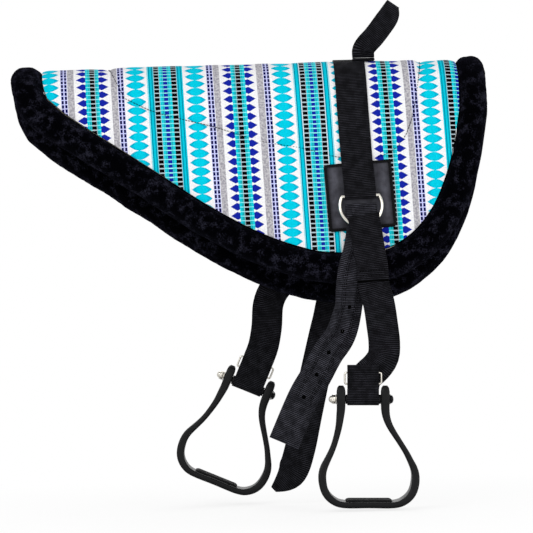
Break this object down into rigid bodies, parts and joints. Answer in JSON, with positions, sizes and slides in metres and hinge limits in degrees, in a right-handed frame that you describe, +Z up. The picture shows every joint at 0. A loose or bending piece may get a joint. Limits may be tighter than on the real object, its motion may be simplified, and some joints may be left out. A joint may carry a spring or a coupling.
{
  "type": "bareback pad",
  "caption": "Quilted riding pad folded over a horse's back, with a plush edge roll, webbing grab handle, stirrups on webbing straps and cinch straps.",
  "frame": {"origin": "on the pad's underside at the top of its fold, where it lies on the horse's back", "axes": "+X to the front of the horse, +Y to its near (left) side, +Z up"},
  "size_m": [0.7757, 0.2965, 0.8224],
  "materials": {
    "patterned_canvas": "woven cotton, printed stripes",
    "black_plush": "short pile",
    "black_fleece": "napped",
    "foam": "open cell",
    "filler_cord": "matte",
    "black_webbing": "ribbed weave",
    "black_leather": "satin",
    "nickel": "polished",
    "black_moulding": "satin",
    "tread_rubber": "matte",
    "black_tube": "satin"
  },
  "bodies": {
    "pad": {"pad_cover": "patterned_canvas", "edge_roll": "black_plush", "edge_roll_core": "filler_cord", "fleece_lining": "black_fleece", "foam_core": "foam", "seat_foam": "foam", "over_strap": "black_webbing", "off_patch": "black_leather", "near_patch": "black_leather", "handle_anchor": "black_webbing"},
    "handle": {"grab_handle": "black_webbing"},
    "billet": {"off_billet": "black_webbing", "off_billet_strip": "black_webbing"},
    "latigo": {"near_latigo": "black_webbing"},
    "off_ring": {"off_dee": "nickel"},
    "off_strap": {"off_stirrup_strap": "black_webbing", "off_strap_slide": "nickel"},
    "off_iron": {"off_stirrup": "black_moulding", "off_tread_pad": "tread_rubber", "off_bolt": "nickel", "off_nut": "nickel", "off_head_washer": "nickel", "off_nut_washer": "nickel", "off_tube": "black_tube"},
    "near_ring": {"near_dee": "nickel"},
    "near_strap": {"near_stirrup_strap": "black_webbing", "near_strap_slide": "nickel"},
    "near_iron": {"near_stirrup": "black_moulding", "near_tread_pad": "tread_rubber", "near_bolt": "nickel", "near_nut": "nickel", "near_head_washer": "nickel", "near_nut_washer": "nickel", "near_tube": "black_tube"}
  },
  "joints": [
    {"name": "off_ring_lift", "type": "hinge", "parent": "pad", "child": "off_ring", "pos_m": [0.173, -0.09022, -0.2003], "axis": [-0.9996, -0.007, -0.0287], "range_deg": [0, 100]},
    {"name": "off_strap_swing", "type": "hinge", "parent": "off_ring", "child": "off_strap", "pos_m": [0.17347, -0.094, -0.21584], "axis": [0, 0.9718, -0.236], "range_deg": [-30, 8]},
    {"name": "off_stirrup_swing", "type": "hinge", "parent": "off_strap", "child": "off_iron", "pos_m": [0.16821, -0.11525, -0.5267], "axis": [0.9997, 0, -0.0262], "range_deg": [-60, 60]},
    {"name": "near_ring_lift", "type": "hinge", "parent": "pad", "child": "near_ring", "pos_m": [0.157, 0.09277, -0.23325], "axis": [0.9996, 0.0069, -0.0288], "range_deg": [0, 100]},
    {"name": "near_strap_swing", "type": "hinge", "parent": "near_ring", "child": "near_strap", "pos_m": [0.15653, 0.0965, -0.2488], "axis": [0, 0.9725, 0.2331], "range_deg": [-60, 5]},
    {"name": "near_stirrup_swing", "type": "hinge", "parent": "near_strap", "child": "near_iron", "pos_m": [-0.01727, 0.11518, -0.5079], "axis": [0.9171, 0, -0.3987], "range_deg": [-60, 60]},
    {"name": "billet_swing", "type": "hinge", "parent": "pad", "child": "billet", "pos_m": [0.17336, -0.0871, -0.2129], "axis": [0, -0.9972, 0.0748], "range_deg": [-15, 8]},
    {"name": "latigo_swing", "type": "hinge", "parent": "pad", "child": "latigo", "pos_m": [0.15637, 0.09025, -0.25461], "axis": [0, 0.9974, 0.0725], "range_deg": [-15, 15]},
    {"name": "handle_tilt", "type": "hinge", "parent": "pad", "child": "handle", "pos_m": [0.186, 0, 0.0317], "axis": [1, 0, 0], "range_deg": [-55, 55]}
  ]
}
